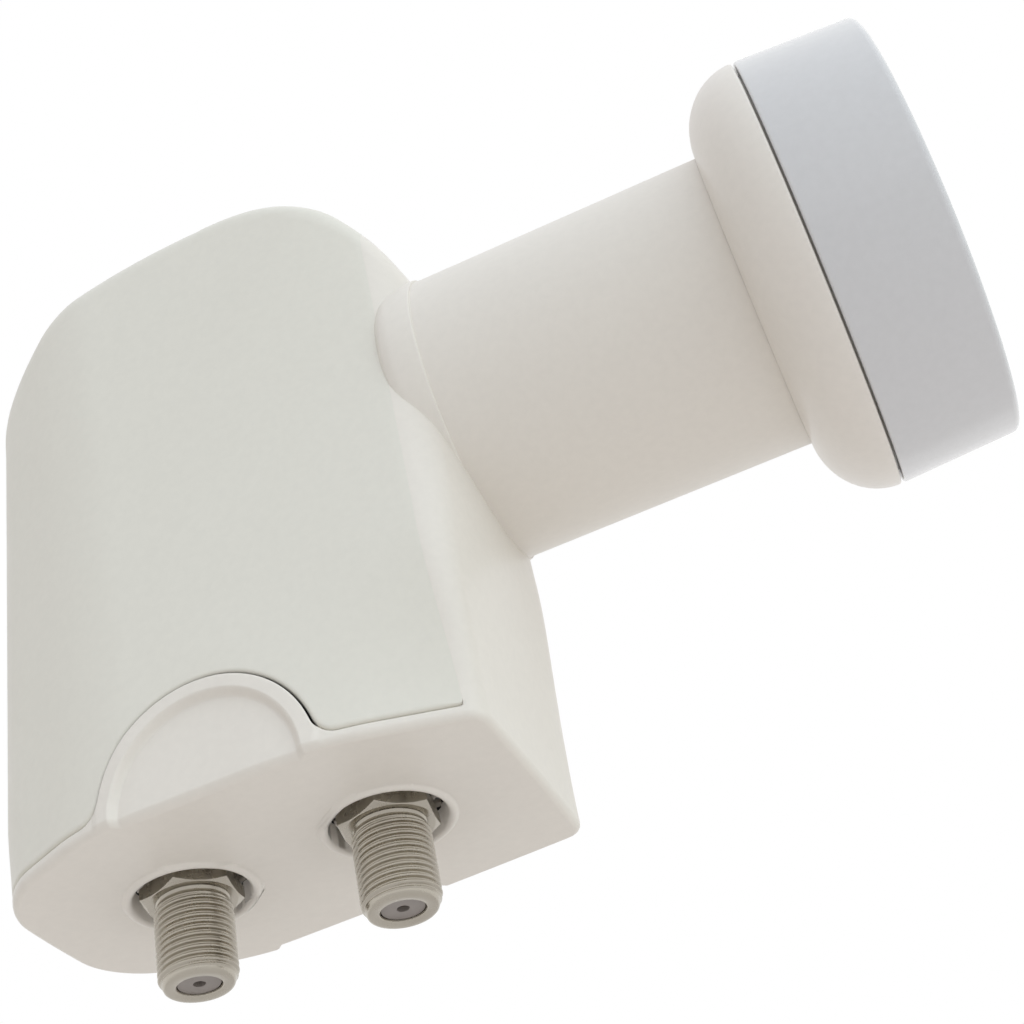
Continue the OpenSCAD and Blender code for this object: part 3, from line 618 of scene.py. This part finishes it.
def build_nuts(material):
    """Hex nuts with chamfered corners on both faces."""
    turn = full_turn(192)
    hexagon = NUT_AF / 2 / np.cos(turn % (math.pi / 3) - math.pi / 6)
    chamfer = [(5.4 + 0.9 * t, 0.5 * t) for t in np.linspace(0, 1, 12)]
    limits = [(SHANK_R + 0.03, 0.0), (SHANK_R + 0.3, 0.0)] + chamfer
    limits += [(7, 0.52), (7, NUT_H - 0.4), (5.5, NUT_H), (SHANK_R + 0.3, NUT_H),
               (SHANK_R + 0.03, NUT_H)]
    rings = [circle(np.minimum(hexagon, limit), NUT_Z + z, turn + NUT_TURN)
             for limit, z in limits]
    at_ports("f_nuts", rings, material, "port_nuts", 28)


def build_washers(material):
    """Lock washers with teeth twisted out of the ring's plane."""
    turn = full_turn(320)
    share = (turn / (2 * np.pi) * WASHER_TEETH) % 1.0
    tooth = ramp(share / 0.1) * (1 - ramp((share - 0.62) / 0.1))
    rings = []
    for r, z, reach in ((4.6, 0.25, 0), (5.1, 0.2, 0), (5.6, 0.2, 0), (5.65, 0.2, 0.45),
                        (5.7, 0.2, 1.0), (5.7, 0.6, 1.0), (5.65, 0.6, 0.45), (5.6, 0.6, 0),
                        (5.1, 0.6, 0), (4.6, 0.55, 0)):
        out = r + reach * tooth * (WASHER_R - WASHER_RING_R)
        tilt = (share - 0.35) * 0.5 * tooth * reach
        rings.append(circle(out, NUT_Z + NUT_H + z + tilt, turn))
    at_ports("f_lock_washers", rings, material, "port_washers", 35)


class Tree:
    """A node tree, built up by short calls."""

    def __init__(self, tree):
        self.tree = tree

    def add(self, kind, **settings):
        node = self.tree.nodes.new(kind)
        for key, value in settings.items():
            setattr(node, key, value)
        return node

    def feed(self, socket, value):
        """Links a source to a socket, or sets the socket's number, vector or colour."""
        if isinstance(value, bpy.types.NodeSocket):
            self.tree.links.new(value, socket)
        else:
            socket.default_value = (*value, 1) if socket.type == "RGBA" else value

    def node(self, kind, inputs, output=0, **settings):
        """Adds a node with these inputs, by number or name, and gives its output."""
        node = self.add(kind, **settings)
        for key, value in inputs.items():
            self.feed(node.inputs[key], value)
        return node.outputs[output]


class Nodes(Tree):
    """A material's node tree."""

    def __init__(self, name):
        self.material = bpy.data.materials.new(name)
        self.material.use_nodes = True
        super().__init__(self.material.node_tree)
        self.shader = self.tree.nodes["Principled BSDF"]
        self.place = self.add("ShaderNodeTexCoord").outputs["Object"]

    def noise(self, scale, detail, roughness=0.55):
        return self.node("ShaderNodeTexNoise", {
            "Vector": self.place, "Scale": scale, "Detail": detail,
            "Roughness": roughness}, "Fac")

    def spread(self, value, low, high):
        """Maps the middle range of a noise to a range of values."""
        return self.node("ShaderNodeMapRange", {
            "Value": value, "From Min": 0.3, "From Max": 0.7, "To Min": low,
            "To Max": high}, "Result")

    def mix(self, share, a, b, blend_type="MIX"):
        return self.node("ShaderNodeMix", {0: share, 6: a, 7: b}, 2, data_type="RGBA",
                         blend_type=blend_type)

    def bump(self, value, distance, before=None):
        inputs = {"Height": value, "Distance": distance, "Strength": 1.0}
        if before is not None:
            inputs["Normal"] = before
        return self.node("ShaderNodeBump", inputs, "Normal")

    def finish(self, **sockets):
        for name, value in sockets.items():
            self.feed(self.shader.inputs[name.replace("_", " ")], value)
        return self.material


def plastic(name, colour, tint, rough, wave, coat=0.0, grain=0.0):
    """Moulded plastic: faint mottling and specks, a spark-eroded grain, slow waviness."""
    m = Nodes(name)
    mottle = m.mix(m.spread(m.noise(22, 3), 0, 1), colour, tint)
    specks = m.spread(m.noise(900, 2), 0.985, 1.01)
    grey = m.node("ShaderNodeCombineColor", {0: specks, 1: specks, 2: specks})
    normal = m.bump(m.noise(14, 2), wave * MM)
    if grain:
        normal = m.bump(m.noise(2600, 3, 0.6), grain * MM, normal)
    return m.finish(Base_Color=m.mix(1.0, mottle, grey, "MULTIPLY"),
                    Roughness=m.spread(m.noise(60, 5), rough - 0.03, rough + 0.05), IOR=1.5,
                    Specular_IOR_Level=0.5, Coat_Weight=coat, Coat_Roughness=0.12,
                    Normal=normal)


def metal(name, colour, tint, rough, scale=180, bump=0.006):
    """Plated or cast metal, uneven in tone and polish."""
    m = Nodes(name)
    shade = m.mix(m.spread(m.noise(scale, 6), 0, 1), colour, tint)
    roughness = m.spread(m.noise(scale * 2, 5), rough - 0.06, rough + 0.1)
    return m.finish(Base_Color=shade, Metallic=1.0, Roughness=roughness,
                    Normal=m.bump(m.noise(scale * 4, 4), bump * MM))


def soft(name, colour, tint, rough, scale=300, bump=0.02):
    """Rubber, ceramic, board or foam, with its own grain."""
    m = Nodes(name)
    shade = m.mix(m.spread(m.noise(scale, 4), 0, 1), colour, tint)
    roughness = m.spread(m.noise(scale, 3), rough - 0.05, rough + 0.05)
    return m.finish(Base_Color=shade, Roughness=roughness,
                    Normal=m.bump(m.noise(scale * 3, 4), bump * MM))


# Each slot's kind, two tones, roughness and grain
FINISHES = {
    "body_plastic": (plastic, (0.775, 0.728, 0.662), (0.785, 0.738, 0.672), 0.36, 0.02, 0.0,
                     0.0015),
    "cover_plastic": (plastic, (0.74, 0.713, 0.638), (0.75, 0.723, 0.65), 0.38, 0.03, 0.0,
                      0.0015),
    "shell_plastic": (plastic, (0.785, 0.735, 0.675), (0.795, 0.745, 0.685), 0.3, 0.01),
    "cap_plastic": (plastic, (0.645, 0.64, 0.648), (0.655, 0.65, 0.658), 0.2, 0.01, 0.5),
    "seal_rubber": (soft, (0.035, 0.035, 0.035), (0.05, 0.05, 0.05), 0.7),
    "cast_metal": (metal, (0.60, 0.61, 0.62), (0.66, 0.66, 0.66), 0.5, 220, 0.02),
    "screw_steel": (metal, (0.58, 0.58, 0.57), (0.66, 0.65, 0.62), 0.32, 260),
    "contact_brass": (metal, (0.72, 0.53, 0.25), (0.78, 0.6, 0.3), 0.28),
    "puck_ceramic": (soft, (0.72, 0.62, 0.45), (0.76, 0.67, 0.5), 0.6),
    "board": (soft, (0.05, 0.20, 0.09), (0.07, 0.25, 0.12), 0.4, 160, 0.01),
    "chip": (soft, (0.03, 0.03, 0.032), (0.045, 0.045, 0.047), 0.5, 500, 0.01),
    "absorber": (soft, (0.07, 0.07, 0.08), (0.10, 0.10, 0.11), 0.9, 700, 0.08),
    "port_nickel": (metal, (0.45, 0.415, 0.355), (0.50, 0.465, 0.40), 0.26, 150, 0.0008),
    "port_washer": (metal, (0.34, 0.32, 0.29), (0.42, 0.39, 0.36), 0.3, 200, 0.001),
    "port_insert": (soft, (0.24, 0.21, 0.19), (0.29, 0.26, 0.24), 0.45, 400),
}


def dress_nodes(materials):
    """Gives each CAD node the finish of its slot."""
    for part in frame["record"]["subparts"]:
        node = frame["nodes"].get(part["node"])
        if node is None:
            continue
        node.data.materials.clear()
        node.data.materials.append(materials[part["material_slot"]])


def build_camera():
    """The photograph's camera: pinhole, solved from outlines of the housing and neck."""
    data = bpy.data.cameras.new("camera")
    camera = bpy.data.objects.new("camera", data)
    bpy.context.scene.collection.objects.link(camera)
    right = Vector((0.9099, 0.3704, -0.1870)).normalized()
    down = Vector((-0.3734, 0.5346, -0.7581))
    down = (down - down.dot(right) * right).normalized()
    ahead = right.cross(down)
    turn = Matrix((right, -down, -ahead)).transposed().to_4x4()
    camera.matrix_world = Matrix.Translation(Vector((22.26, -168.88, -156.62)) * MM) @ turn
    data.sensor_width = 36
    data.lens = 60.92
    data.shift_x, data.shift_y = -0.00379, 0.00052
    data.clip_start, data.clip_end = 0.01, 20
    bpy.context.scene.camera = camera


def panel_light(t, place, way, colour):
    """A soft lobe of light round one direction."""
    facing = t.node("ShaderNodeVectorMath", {0: place, 1: Vector(way).normalized()}, "Value",
                    operation="DOT_PRODUCT")
    front = t.node("ShaderNodeMath", {0: facing, 1: 0.0}, operation="MAXIMUM")
    lobe = t.node("ShaderNodeMath", {0: front, 1: PANEL_FOCUS}, operation="POWER")
    return t.node("ShaderNodeVectorMath", {0: colour, "Scale": lobe}, operation="SCALE")


def build_world():
    """White to the camera and in reflections; other rays see soft panels all round."""
    world = bpy.data.worlds.new("studio")
    bpy.context.scene.world = world
    world.use_nodes = True
    t = Tree(world.node_tree)
    t.tree.nodes.clear()
    place = t.add("ShaderNodeTexCoord").outputs["Generated"]
    lights = [panel_light(t, place, way, colour) for way, colour in PANELS]
    total = lights[0]
    for light in lights[1:]:
        total = t.node("ShaderNodeVectorMath", {0: total, 1: light}, operation="ADD")
    path = t.add("ShaderNodeLightPath")
    sees = path.outputs["Is Camera Ray"]
    for ray in ("Is Glossy Ray", "Is Transmission Ray"):
        sees = t.node("ShaderNodeMath", {0: sees, 1: path.outputs[ray]}, operation="MAXIMUM")
    tent = t.add("ShaderNodeBackground")
    t.tree.links.new(total, tent.inputs["Color"])
    white = t.node("ShaderNodeBackground", {"Color": (1, 1, 1)})
    either = t.node("ShaderNodeMixShader", {0: sees, 1: tent.outputs[0], 2: white})
    t.feed(t.add("ShaderNodeOutputWorld").inputs["Surface"], either)


def build_floor():
    """A pale round floor below the object and below the camera, which looks up."""
    around, rings = 96, 12
    points = [circle(r, FLOOR_Z, full_turn(around)) for r in np.linspace(FLOOR_R, 0.01, rings)]
    middle = list(range((rings - 1) * around, rings * around))
    mesh = bpy.data.meshes.new("floor")
    mesh.from_pydata(np.vstack(points).tolist(), [],
                     grid_tris(rings, around).tolist() + [middle])
    m = Nodes("floor_pale")
    tone = m.mix(m.spread(m.noise(3, 2), 0, 1), (0.82, 0.79, 0.76), (0.83, 0.80, 0.77))
    mesh.materials.append(m.finish(Base_Color=tone, Roughness=0.9))
    floor = bpy.data.objects.new("floor", mesh)
    bpy.context.scene.collection.objects.link(floor)


materials = {slot: kind(slot, *values) for slot, (kind, *values) in FINISHES.items()}
dress_nodes(materials)
build_cover(materials["cover_plastic"])
build_moulding(materials["body_plastic"])
build_neck(materials["body_plastic"])
build_cap(materials["shell_plastic"], materials["cap_plastic"])
build_barrels(materials["port_nickel"])
build_nuts(materials["port_nickel"])
build_washers(materials["port_washer"])
build_camera()
build_world()
build_floor()

scene = bpy.context.scene
scene.view_settings.view_transform = "Standard"
